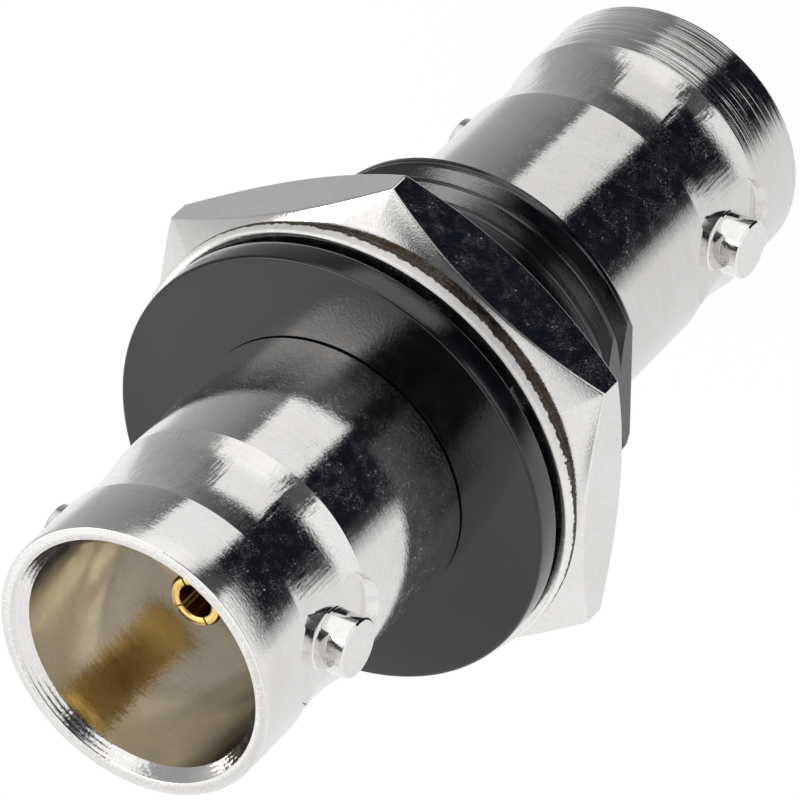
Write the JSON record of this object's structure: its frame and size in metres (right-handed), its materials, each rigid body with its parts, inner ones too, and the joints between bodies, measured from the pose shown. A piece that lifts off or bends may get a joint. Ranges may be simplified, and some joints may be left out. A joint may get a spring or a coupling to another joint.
{
  "type": "bulkhead coaxial adapter",
  "caption": "Straight coaxial bulkhead adapter: a bayonet jack at each end, a black insulating flange with a D-shaped threaded sleeve, a lock washer and a hex nut.",
  "frame": {"origin": "centre of the rear jack's mouth ring, which the part stands on", "axes": "+Z along the connector axis from the rear jack to the front jack; the bayonet lugs lie along X and the flat of the threaded sleeve faces -X"},
  "size_m": [0.0162, 0.0184, 0.0327],
  "materials": {
    "nickel_plate": "bright nickel plating over turned brass, fine turning marks",
    "black_plastic": "glossy black moulded plastic",
    "gold_plate": "pale gold plating",
    "white_insulator": "matt white"
  },
  "bodies": {
    "connector": {"front_body": "nickel_plate", "rear_body": "nickel_plate", "front_lug_left": "nickel_plate", "front_lug_right": "nickel_plate", "rear_lug_left": "nickel_plate", "rear_lug_right": "nickel_plate", "insulating_bushing": "black_plastic", "centre_contact": "gold_plate", "front_insulator": "white_insulator", "rear_insulator": "white_insulator"},
    "washer": {"lock_washer": "nickel_plate"},
    "nut": {"hex_nut": "nickel_plate"}
  },
  "joints": [
    {"name": "nut_travel", "type": "slide", "parent": "connector", "child": "washer", "axis": [0, 0, -1], "range_m": [0, 0.00635]},
    {"name": "nut_spin", "type": "hinge", "parent": "washer", "child": "nut", "pos_m": [0, 0, 0.0179], "axis": [0, 0, -1], "range_deg": [0, 2520]}
  ],
  "couplings": [
    {"joint": "nut_travel", "follows": "nut_spin", "m_per_rad": 0.00014435}
  ]
}
